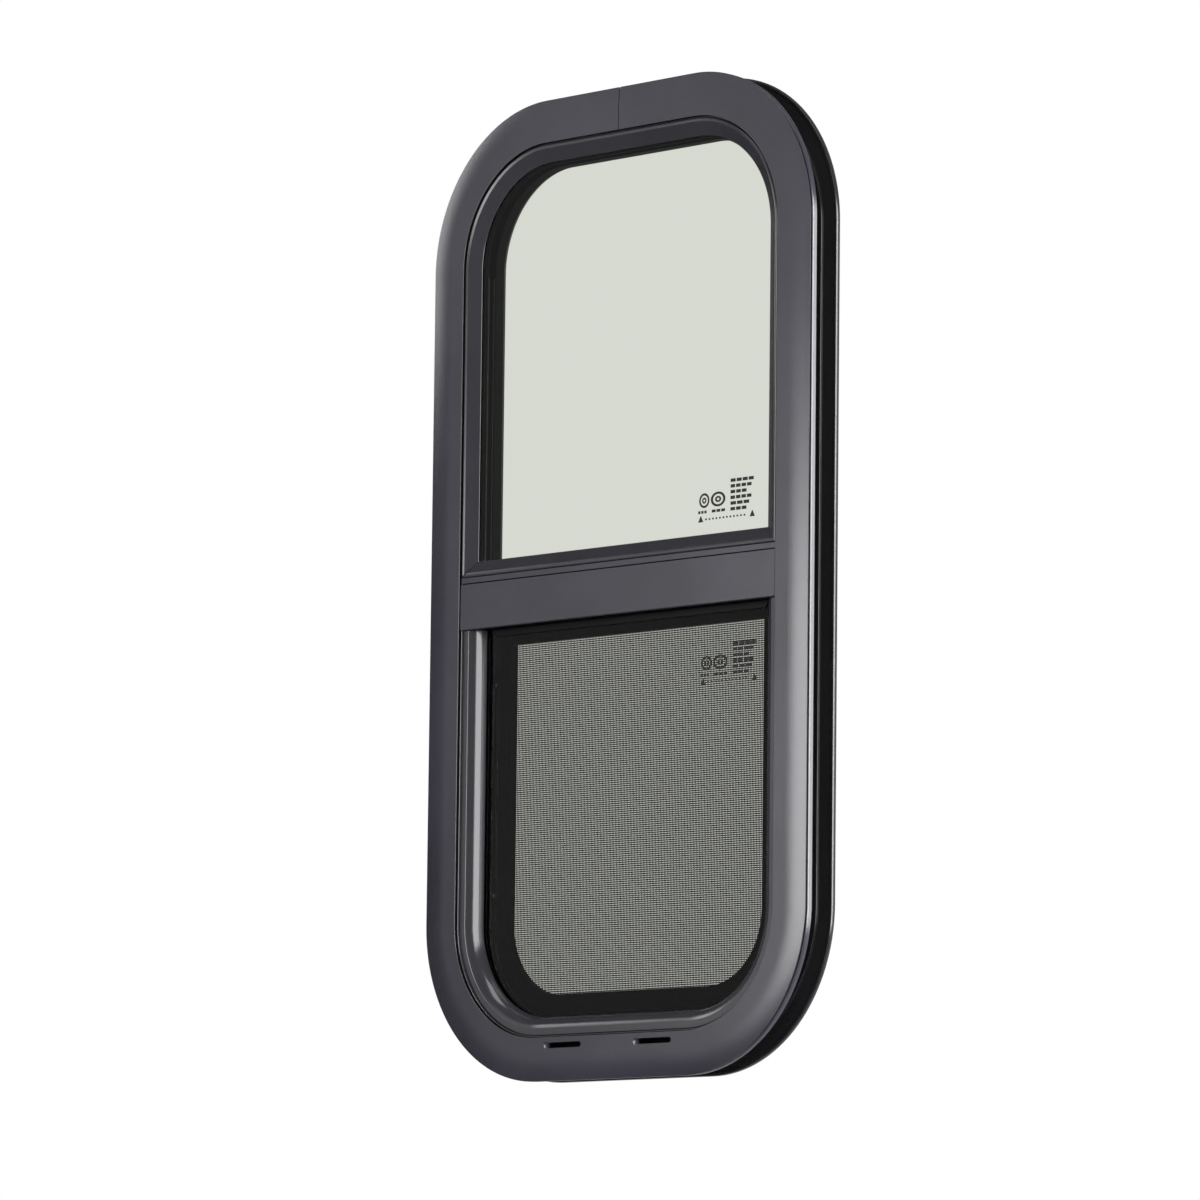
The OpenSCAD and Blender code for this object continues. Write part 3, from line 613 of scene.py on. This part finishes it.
# Beads: the hollow one round the fixed pane, its twin along the crossbar, and the lower lip
beads = {"gap": 1.1, "width": 11.2, "lift": 0.1, "rootGap": 0.2, "root": 82.4, "arris": 0.3,
         "crestDrop": 0.7, "crown": 1.4, "crownFall": 0.25, "seat": 0.6, "mitreStart": -0.4,
         "shoulder": 0.9, "shoulderIn": 0.72, "shoulderArris": 0.54, "shoulderShare": 0.3,
         "fullTilt": 27.0, "sink": 3.4, "fin": 0.7, "finGap": 0.7, "finDrop": 1.9, "slit": 2.0,
         "strip": 4.5, "stripFall": 0.05, "nose": 1.0, "noseDrop": 0.7, "breakTilt": 14.0,
         "tiltPower": 1.8, "curveSteps": 16}
crossbar = {"low": -23.7, "width": 31.0, "face": 6.5, "ledge": 3.6, "line": 0.9,
            "ledgeDrop": 0.6, "wall": 1.6, "beadWidth": 10.7, "beadGap": 0.5, "beadRoot": 2.6,
            "beadEdge": 0.7, "beadEdgeFall": 0.4, "beadEndGap": 0.3, "endGap": 0.5,
            "endBand": 1.0, "endDepth": 0.4, "grooveDepth": 0.2, "facesDown": -0.9}
crossbar["beadLow"] = sum(crossbar[key] for key in ("low", "width", "line", "ledge", "beadGap"))
beadOut = flangeIn - beads["gap"]
beadSeat = outerFrame["paneFront"] + beads["lift"]
beadRoot = under - beads["rootGap"]
beadDress = ("beadRubber", "bead_rubber")


def tiltedFace(start, end, tilt):
    # A face given by its tilt at even steps along it: the running sums of the tilt's cosine and
    # sine are its run and its fall, each stretched so that the face ends where it should
    between = (tilt[:-1] + tilt[1:]) / 2
    run = np.concatenate([[0], np.cumsum(np.cos(between))])
    fall = np.concatenate([[0], np.cumsum(np.sin(between))])
    return list(zip(start[0] + (end[0] - start[0]) * run / run[-1],
                    start[1] + (end[1] - start[1]) * fall / fall[-1]))


def fallingFace(start, end):
    # The tilt grows to its full value over the shoulder and then stays
    along = np.clip(np.linspace(0, 1, beads["curveSteps"] + 1) / beads["shoulderShare"], 0, 1)
    return tiltedFace(start, end, math.radians(beads["fullTilt"]) * (1 - (1 - along) ** 2))


def makeUpperBead():
    b, c = beads, crossbar
    inner, crest = beadOut - b["width"], face - b["crestDrop"]
    slope = fallingFace((beadOut - b["crown"], crest - b["crownFall"]),
                        (inner, beadSeat + b["seat"]))
    section = softened([(beadOut, beadRoot), (beadOut, crest - b["shoulder"]),
                        (beadOut - b["shoulderIn"], crest), *slope, (inner, beadSeat),
                        (b["root"], beadSeat), (b["root"], beadRoot)], b["shoulderArris"])
    points = carried(section, pathOver(1, c["beadLow"]))
    # The ends are cut along the mitre: the further in, the higher
    rise = np.maximum((beadOut - section[:, 0]) / b["width"] * c["beadWidth"], b["mitreStart"])
    points[[0, -1], :, 2] = (c["beadLow"] + rise + middle) * mm
    sweptPiece("upperBead", points, False, section, *beadDress, "upper_bead")


def makeBarBead():
    # The section is drawn as (rise over the bead's low line, height)
    b, c = beads, crossbar
    ledge = c["face"] - c["ledgeDrop"]
    crest, rootTop = ledge - b["lift"], ledge - c["wall"] - b["rootGap"]
    slope = fallingFace((b["crown"], crest), (c["beadWidth"], beadSeat + b["seat"]))
    section = softened([(-c["beadRoot"], beadSeat), (-c["beadRoot"], rootTop), (0, rootTop),
                        (0, crest - c["beadEdgeFall"]), (c["beadEdge"], crest), *slope,
                        (c["beadWidth"], beadSeat)], b["arris"])
    rise, z = section[:, 0], section[:, 1]
    mitre = np.maximum(rise, 0) / c["beadWidth"] * b["width"]
    half = centreX + beadOut - mitre - c["beadEndGap"]
    points = placed(np.linspace(-1, 1, 3)[:, None] * half, c["beadLow"] + rise[None, :],
                    z[None, :])
    sweptPiece("barBead", points, False, section, *beadDress, "bar_bead")


def makeLowerBead():
    # The face is a flat strip, and past a break its tilt grows until it is upright at the nose
    b = beads
    noseLow, inner = ribLow - b["noseDrop"], throat - b["rootGap"]
    edge, edgeZ = beadOut - b["finGap"], face - b["sink"]
    finTop, seat = face - b["finDrop"], ribTop + b["lift"]
    along = np.linspace(0, 1, b["curveSteps"] + 1)
    tilt = np.radians(b["breakTilt"] + (90 - b["breakTilt"]) * along ** b["tiltPower"])
    curve = tiltedFace((edge - b["strip"], edgeZ - b["stripFall"]),
                       (throat - b["nose"], noseLow), tilt)
    section = softened([(b["root"], beadRoot), (beadOut + b["fin"], beadRoot),
                        (beadOut + b["fin"], finTop), (beadOut, finTop),
                        (beadOut, edgeZ - b["slit"]), (edge, edgeZ - b["slit"]), (edge, edgeZ),
                        *curve, (inner, noseLow), (inner, seat), (b["root"], seat)], b["arris"])
    points = carried(section, pathOver(-1, -(crossbar["low"] - b["lift"])))
    sweptPiece("lowerBead", points, False, section, *beadDress, "lower_bead")


makeUpperBead()
makeBarBead()
makeLowerBead()
print("beads made")


def fitCrossbar(piece):
    # The face stops a little shorter of the flange. The groove under the ledge, the underside, and
    # all that lies above the ledge behind the bead, go matt black as painted shade.
    c, mesh = crossbar, piece.data
    points = readRows(mesh.vertices, "co", 3) / mm
    past = np.abs(points[:, 0]) - centreX - flangeIn
    atEnd = (np.abs(past) < c["endBand"]) & (-points[:, 1] > under - c["endDepth"])
    points[atEnd, 0] -= np.sign(points[atEnd, 0]) * c["endGap"]
    mesh.vertices.foreach_set("co", (points * mm).ravel())
    centre = readRows(mesh.polygons, "center", 3) / mm
    rise, height = centre[:, 2] - middle - c["low"], -centre[:, 1]
    over = rise - c["width"]
    groove = ((over > -fineGap) & (over < c["line"] + fineGap)
              & (height < c["face"] - c["grooveDepth"]))
    above = over > c["line"] + c["ledge"] - fineGap
    normal = readRows(mesh.polygons, "normal", 3)
    below = (normal[:, 2] < c["facesDown"]) & (rise < c["endBand"])
    paintShadeBlack(mesh, groove | above | below)


# Crossbar, sliding rail and the small moulded and pressed pieces keep the CAD shape. Each row:
# piece, node, finish, slot, the rounding's width and its steps
copies = (
    ("crossbar", "mullion", "frameCoat", "frame_coat", 0.15, 2),
    ("slidingRail", "sash_rail", "railCoatInShade", "rail_coat", 0.3, 2),
    ("screenTopRail", "screen_top_rail", "screenCoat", "screen_coat", 0.3, 2),
    ("latchLeft", "latch_left", "latchPlastic", "latch_plastic", 0.5, 3),
    ("latchRight", "latch_right", "latchPlastic", "latch_plastic", 0.5, 3),
    ("seamPlate", "seam_plate", "steel", "fasteners", 0.2, 2),
    ("crossbarScrews", "mullion_screws", "steel", "fasteners", 0.2, 2),
    ("screenPins", "screen_pins", "steel", "fasteners", 0.3, 2),
    ("screenTabs", "screen_tabs", "rubber", "rubber", 0.2, 2),
    ("meetingSeal", "meeting_seal", "pile", "pile", 0.3, 2),
    ("ringScrews", "ring_screws", "blackSteel", "black_screws", 0.5, 3),
)
copied = {row[0]: easedCopy(*row) for row in copies}
fitCrossbar(copied["crossbar"])
print("small pieces made")

# Screen frame, clamp ring and gasket: plain sections carried round
screen = {"gap": 2.6, "member": 14.0, "depth": 6.6, "drop": 11.5, "lift": 1.7, "ease": 0.8,
          "splineRadius": 1.4, "grooveGap": 0.1, "grooveEase": 0.2,
          "sealBack": 1.8, "sealWide": 2.4, "sealGap": 0.03, "sealEase": 0.3,
          "pitch": 1.41, "thread": 0.71, "sides": 6, "threadGap": 0.3, "threadBack": 0.25,
          "layerShift": 0.45, "threadSharp": math.radians(80)}
screen["out"] = throat - screen["gap"]
screen["in"] = screen["out"] - screen["member"]
screen["top"] = crossbar["low"] + crossbar["width"] / 2 - screen["drop"]
screen["back"] = outerFrame["back"] - screen["lift"]
screen["splineLine"] = (screen["out"] + screen["in"]) / 2


def makeScreenFrame():
    s = screen
    g = s["splineRadius"] + s["grooveGap"]
    back, front = s["back"], s["back"] + s["depth"]
    near, far, floor = s["splineLine"] - g, s["splineLine"] + g, back + 2 * g
    section = softened([(s["in"], back), (near, back), (near, floor), (far, floor), (far, back),
                        (s["out"], back), (s["out"], front), (s["in"], front)],
                       [s["ease"]] + [s["grooveEase"]] * 4 + [s["ease"]] * 3)
    path = pathOver(-1, -s["top"])
    sweptPiece("screenFrame", carried(section, path), False, section,
               "screenCoat", "screen_coat", "screen_frame")
    # A soft strip closes the gap between the screen frame and the window frame
    inner, out = s["out"] + s["sealGap"], throat - s["sealGap"]
    low = back + s["sealBack"]
    high = low + s["sealWide"]
    strip = softened([(inner, low), (out, low), (out, high), (inner, high)], s["sealEase"])
    sweptPiece("screenSeal", carried(strip, path), False, strip, "pile")


ring = {"inset": 0.5, "front": -20.1, "plate": 2.0, "lip": 2.0, "wall": -18.7, "inner": 0.6,
        "key": 1.8, "keyGap": 0.4, "keyRise": 5.0, "rib": 2.2, "ribGap": 6.3,
        "facetIn": 0.4, "facetDrop": 1.05, "backEase": 1.2, "innerEase": 0.7, "ribEase": 0.4,
        "edgeEase": 0.3, "fineEase": 0.2}


def makeClampRing():
    # Each corner comes with the radius of its rounding
    r = ring
    out, front, wall = cornerR - r["inset"], r["front"], r["wall"]
    back, keyTop, facetZ = front - r["plate"], front + r["keyRise"], wall - r["facetDrop"]
    inner, key = throat + r["inner"], legIn - r["keyGap"]
    rib = legOut + r["ribGap"]
    fine, edge, keyIn, ribIn = r["fineEase"], r["edgeEase"], key - r["key"], rib - r["rib"]
    corners = np.array([
        (out - r["facetIn"], wall, fine), (out, facetZ, fine), (out, back, r["backEase"]),
        (inner, back, r["innerEase"]), (inner, front, fine), (keyIn, front, fine),
        (keyIn, keyTop, edge), (key, keyTop, edge), (key, front, fine), (ribIn, front, fine),
        (ribIn, wall, r["ribEase"]), (rib - r["facetIn"], wall, fine), (rib, facetZ, fine),
        (rib, front, fine), (out - r["lip"], front, fine), (out - r["lip"], wall, edge)])
    section = softened(corners[:, :2], corners[:, 2])
    sweptPiece("clampRing", carried(section, pathRound()), True, section,
               "ringCoat", "ring_coat", "clamp_ring")


gasket = {"gap": 0.2, "low": 0.02, "topGap": 0.1, "ease": 0.6}


def makeGasket():
    g = gasket
    inner, out = landOut + g["gap"], cornerR - outerFrame["lipThickness"] - g["gap"]
    low, high = g["low"], under - g["topGap"]
    section = softened([(inner, low), (out, low), (out, high), (inner, high)], g["ease"])
    sweptPiece("wallGasket", carried(section, pathRound()), True, section,
               "foam", "foam", "wall_gasket")


makeScreenFrame()
makeClampRing()
makeGasket()
print("ring, gasket and screen frame made")


def prismFaces(count, corners):
    # Many closed prisms, each with the points of one end and then of the other
    step = 2 * corners
    return [f for k in range(count) for f in tubeFaces(2, corners, k * step)]


def makeScreenMesh():
    # Threads in two layers that touch; a thread's length is a chord of the rounded opening
    s = screen
    d = s["thread"] / 2
    reach = s["splineLine"] - s["splineRadius"] - s["threadGap"]
    halfX, low = centreX + reach, -(centreY + reach)
    high = s["top"] - s["out"] + reach
    angle = np.linspace(0, 2 * math.pi, s["sides"], endpoint=False)
    for name, across in (("screenWarp", True), ("screenWeft", False)):
        span = (-halfX, halfX) if across else (low, high)
        count = int((span[1] - span[0]) / s["pitch"])
        at = span[0] + s["pitch"] * (np.arange(count) + 0.5)
        if across:
            # Upright threads end on the quarter circles of the bottom corners
            over = np.maximum(np.abs(at) - centreX, 0)
            start = -centreY - np.sqrt(reach ** 2 - over ** 2)
            end = np.full(count, high)
        else:
            below = np.maximum(-centreY - at, 0)
            end = centreX + np.sqrt(reach ** 2 - below ** 2)
            start = -end
        along = np.stack([start, end], axis=1)[:, :, None] + 0 * angle
        side = at[:, None, None] + d * np.cos(angle) + 0 * along
        layer = s["back"] - s["threadBack"] + (1 if across else -1) * s["layerShift"] * d
        depth = layer + (1 - s["layerShift"]) * d * np.sin(angle) + 0 * along
        points = placed(side, along, depth) if across else placed(along, side, depth)
        mesh = newMesh(name, points, prismFaces(count, s["sides"]))
        finishMesh(mesh, s["threadSharp"])
        addPiece(name, mesh, "screenThread", "mesh", "screen_mesh")
        print(name, count, "threads")


makeScreenMesh()

# CAD nodes that keep their own mesh
keptNodes = {"upper_glass": paneGlass, "sash_glass": paneGlass,
             "glazing_tape": finishes["rubber"], "glass_run": finishes["rubber"],
             "screen_spline": finishes["rubber"]}
for nodeName, material in keptNodes.items():
    kept = nodes[nodeName]
    if kept.material_slots:
        for held in kept.material_slots:
            held.material = material
    else:
        kept.data.materials.append(material)
print("CAD nodes dressed")

# Prints near the right edge of each pane: plain rings, dashes, dots and triangles only. The marks
# are placed from the print's lower left corner.
prints = {"thickness": 0.05, "lift": 0.01, "wide": 54.0, "tall": 22.0, "right": 126.0,
          "upperLow": 33.0, "lowerRight": 122.0, "lowerLow": -73.0, "drop": 1.6,
          "rows": (22.0, 20.0, 15.5, 20.0, 18.0, 15.5), "rowStep": 3.76, "rowsLeft": 29.6,
          "rowsRaise": 2.8, "rowPiece": 5.0, "rowGap": 0.9, "dash": 2.2,
          "dots": 12, "dotsLeft": 6.5, "dotsLow": 1.0, "dotStep": 3.2, "dotSize": (1.5, 1.2),
          "unders": ((0.0, 8.5), (12.5, 13.0)), "underLow": 4.0, "underTall": 1.87,
          "underGap": 0.8, "underCount": 3,
          "triangle": 4.8, "tallTriangle": 4.0, "triangleIn": 2.0, "tip": 0.3,
          "ringPlaces": ((5.5, 0.96), (18.2, 1.37)), "ringLow": 12.5, "ringSteps": 32,
          "ringSizes": ((4.9, 1.5), (2.058, 1.2))}


def prisms(outlines, z, thickness):
    # Flat outlines, all with as many corners, each raised into a thin closed plate
    outlines = np.array(outlines, float)
    count, corners = outlines.shape[:2]
    heights = np.array([z, z + thickness])[None, :, None]
    x = outlines[:, None, :, 0] + 0 * heights
    y = outlines[:, None, :, 1] + 0 * heights
    return placed(x, y, heights + 0 * x), prismFaces(count, corners)


def printOutlines(left, low):
    # Outlines in the pane's plane: rows of dashes, dots, dashes under the rings, triangles, rings
    p = prints
    shapes = []

    def bar(x, y, width, height):
        shapes.append([(x, y), (x + width, y), (x + width, y + height), (x, y + height)])

    for k, length in enumerate(p["rows"]):
        at = low + p["tall"] + p["rowsRaise"] - p["dash"] - k * p["rowStep"]
        pieces = max(2, int(length / p["rowPiece"]))
        step = length / pieces
        for n in range(pieces):
            bar(left + p["rowsLeft"] + n * step, at, step - p["rowGap"], p["dash"])
    foot = low - p["drop"]
    for n in range(p["dots"]):
        bar(left + p["dotsLeft"] + n * p["dotStep"], foot + p["dotsLow"], *p["dotSize"])
    for x, run in p["unders"]:
        step = run / p["underCount"]
        for n in range(p["underCount"]):
            bar(left + x + n * step, low + p["underLow"], step - p["underGap"], p["underTall"])
    t, tip, top = p["triangle"], p["tip"], foot + p["tallTriangle"]
    for x in (left, left + p["wide"] - t - p["triangleIn"]):
        shapes.append([(x, foot), (x + t, foot), (x + t / 2 + tip, top), (x + t / 2 - tip, top)])
    turn = np.linspace(0, 2 * math.pi, p["ringSteps"] + 1)
    for x, wide in p["ringPlaces"]:
        for outer, stroke in p["ringSizes"]:
            inner = outer - stroke
            for a, b in zip(turn[:-1], turn[1:]):
                ends = ((inner, a), (outer, a), (outer, b), (inner, b))
                shapes.append([(left + x + q * wide * math.cos(t),
                                low + p["ringLow"] + q * math.sin(t)) for q, t in ends])
    return shapes


def makePrints():
    p = prints
    for name, right, low, z in (
            ("upperPrint", p["right"], p["upperLow"], outerFrame["paneFront"]),
            ("lowerPrint", p["lowerRight"], p["lowerLow"], sashFront)):
        shapes = printOutlines(right - p["wide"], low)
        mesh = newMesh(name, *prisms(shapes, z + p["lift"], p["thickness"]))
        finishMesh(mesh)
        addPiece(name, mesh, "printInk")


makePrints()
print("prints made")

# Stage
white = (1, 1, 1, 1)
studio = {"floorHeight": -0.62, "floorSize": 12.0, "floorColour": (0.80, 0.80, 0.79),
          "floorRough": 0.8, "floorEven": 0.85, "ambient": 0.25, "room": 0.025,
          "roomStart": 0.1, "roomEnd": 0.6, "wallTop": 0.18, "wallEnd": 0.30, "wallRest": 0.3,
          "wall": 0.70}


def makeFloor():
    half, z = studio["floorSize"] / 2, studio["floorHeight"]
    mesh = newMesh("floor", [(-half, -half, z), (half, -half, z), (half, half, z),
                             (-half, half, z)], [(0, 1, 2, 3)])
    floor = newObject("floor", mesh)
    # Sight finds mostly the floor's own pale colour, and a share of its shading with the shadow.
    # Straight sight has no bounce behind it: fewer than 0.5.
    material, tree, shader, output = blank("paleFloor", {
        "Base Color": (*studio["floorColour"], 1), "Roughness": studio["floorRough"]})
    paths = addNode(tree, "LightPath")
    bounces = addMath(tree, "ADD")
    straight = addMath(tree, "LESS_THAN", {1: 0.5})
    seen = addMath(tree, "MAXIMUM")
    both = addMath(tree, "MULTIPLY")
    share = addMath(tree, "MULTIPLY", {1: studio["floorEven"]})
    even = addNode(tree, "Emission", {"Color": white, "Strength": 1.0})
    mix = addNode(tree, "MixShader")
    wire(tree, (paths, "Is Camera Ray", seen, 0), (paths, "Is Transmission Ray", seen, 1),
         (paths, "Diffuse Depth", bounces, 0), (paths, "Glossy Depth", bounces, 1),
         (bounces, "Value", straight, 0), (seen, "Value", both, 0), (straight, "Value", both, 1),
         (both, "Value", share, 0), (share, "Value", mix, "Fac"), (shader, "BSDF", mix, 1),
         (even, "Emission", mix, 2), (mix, "Shader", output, "Surface"))
    mesh.materials.append(material)
    floor.visible_glossy = False


def makeWorld():
    # Sight finds white, straight through glass too. Glossy rays find the white backdrop behind the
    # window, which fades above the height of its top, and a dim room in front of it:
    # strength = depth x height x (wall - room) + room. What lights the object is set by itself.
    world = bpy.data.worlds.new("studioAir")
    bpy.context.scene.world = world
    world.use_nodes = True
    tree = world.node_tree
    tree.nodes.clear()
    paths = addNode(tree, "LightPath")
    way = addNode(tree, "TexCoord")
    parts = addNode(tree, "SeparateXYZ")
    depth = addNode(tree, "MapRange", {
        "From Min": studio["roomStart"], "From Max": studio["roomEnd"]},
        interpolation_type="SMOOTHSTEP")
    height = addNode(tree, "MapRange", {
        "From Min": studio["wallTop"], "From Max": studio["wallEnd"], "To Min": 1.0,
        "To Max": studio["wallRest"]}, interpolation_type="SMOOTHSTEP")
    both = addMath(tree, "MULTIPLY")
    strength = addMath(tree, "MULTIPLY_ADD", {
        1: studio["wall"] - studio["room"], 2: studio["room"]})
    turned = addMath(tree, "ADD", use_clamp=True)
    through = addMath(tree, "SUBTRACT", use_clamp=True)
    seen = addMath(tree, "MAXIMUM")
    gloss = addMath(tree, "GREATER_THAN")
    light = addNode(tree, "Background", {"Color": white, "Strength": studio["ambient"]})
    room = addNode(tree, "Background", {"Color": white})
    shown = addNode(tree, "Background", {"Color": white, "Strength": 1.0})
    forGloss = addNode(tree, "MixShader")
    forSight = addNode(tree, "MixShader")
    output = addNode(tree, "OutputWorld")
    wire(tree, (way, "Generated", parts, "Vector"), (parts, "Y", depth, "Value"),
         (parts, "Z", height, "Value"), (depth, "Result", both, 0), (height, "Result", both, 1),
         (both, "Value", strength, 0), (strength, "Value", room, "Strength"),
         (paths, "Glossy Depth", gloss, 0), (paths, "Diffuse Depth", gloss, 1),
         (gloss, "Value", forGloss, "Fac"), (light, "Background", forGloss, 1),
         (room, "Background", forGloss, 2), (paths, "Glossy Depth", turned, 0),
         (paths, "Diffuse Depth", turned, 1), (paths, "Is Transmission Ray", through, 0),
         (turned, "Value", through, 1), (paths, "Is Camera Ray", seen, 0),
         (through, "Value", seen, 1), (seen, "Value", forSight, "Fac"),
         (forGloss, "Shader", forSight, 1), (shown, "Background", forSight, 2),
         (forSight, "Shader", output, "Surface"))


# Round the window by the compass: 0 is straight in front, 90 to the right of it, 180 behind
lamps = {
    "cameraSideBox": {"round": 62.0, "up": 6.0, "away": 2.6, "size": (2.4, 1.6), "watts": 58.0},
    "lowFrontBox": {"round": -27.4, "up": 2.0, "away": 2.6, "size": (0.95, 0.66), "watts": 9.1},
    "frontWash": {"round": -38.5, "up": 12.0, "away": 2.6, "size": (1.05, 1.80), "watts": 2.5},
    "upperLeftBox": {"round": -63.0, "up": 20.5, "away": 2.4, "size": (0.50, 0.70), "watts": 3.1},
    "leftRim": {"round": -106.0, "up": 4.0, "away": 2.4, "size": (0.5, 1.6), "watts": 12.0},
    "rightStrip": {"round": 92.0, "up": 5.0, "away": 2.6, "size": (0.40, 1.9), "watts": 27.0},
    "rightRim": {"round": 113.0, "up": 4.0, "away": 2.4, "size": (0.6, 1.6), "watts": 16.0},
    "topSoftbox": {"round": 20.0, "up": 68.0, "away": 2.2, "size": (1.4, 1.0), "watts": 10.0},
}


def makeLamps():
    aim = np.array([0, 0, middle * mm])
    for name, lamp in lamps.items():
        turn, rise = math.radians(lamp["round"]), math.radians(lamp["up"])
        away = np.array([math.sin(turn) * math.cos(rise), -math.cos(turn) * math.cos(rise),
                         math.sin(rise)])
        light = bpy.data.lights.new(name, "AREA")
        light.shape = "RECTANGLE"
        light.size, light.size_y = lamp["size"]
        light.energy = lamp["watts"]
        box = newObject(name, light)
        side = np.cross((0, 0, 1), away)
        side = side / np.linalg.norm(side)
        facing = Matrix([list(side), list(np.cross(away, side)), list(away)])
        box.matrix_world = (Matrix.Translation(list(aim + away * lamp["away"]))
                            @ facing.transposed().to_4x4())
        box.visible_camera = False
        box.visible_transmission = False


shot = {"place": (3.2587, -3.1871, -0.25495), "azimuth": 45.810, "elevation": -6.921,
        "roll": 0.653, "lens": 208.45, "sensor": 36.0, "farEnd": 60.0}


def makeCamera():
    lens = bpy.data.cameras.new("photoCamera")
    lens.lens = shot["lens"]
    lens.sensor_width = shot["sensor"]
    lens.sensor_fit = "HORIZONTAL"
    lens.clip_end = shot["farEnd"]
    camera = newObject("photoCamera", lens)
    turn = (Matrix.Rotation(math.radians(shot["azimuth"]), 4, "Z")
            @ Matrix.Rotation(math.radians(90 - shot["elevation"]), 4, "X")
            @ Matrix.Rotation(math.radians(shot["roll"]), 4, "Z"))
    camera.matrix_world = Matrix.Translation(shot["place"]) @ turn
    bpy.context.scene.camera = camera


makeFloor()
makeWorld()
makeLamps()
makeCamera()
bpy.context.scene.view_settings.view_transform = "Standard"
print("stage, lamps and camera set")
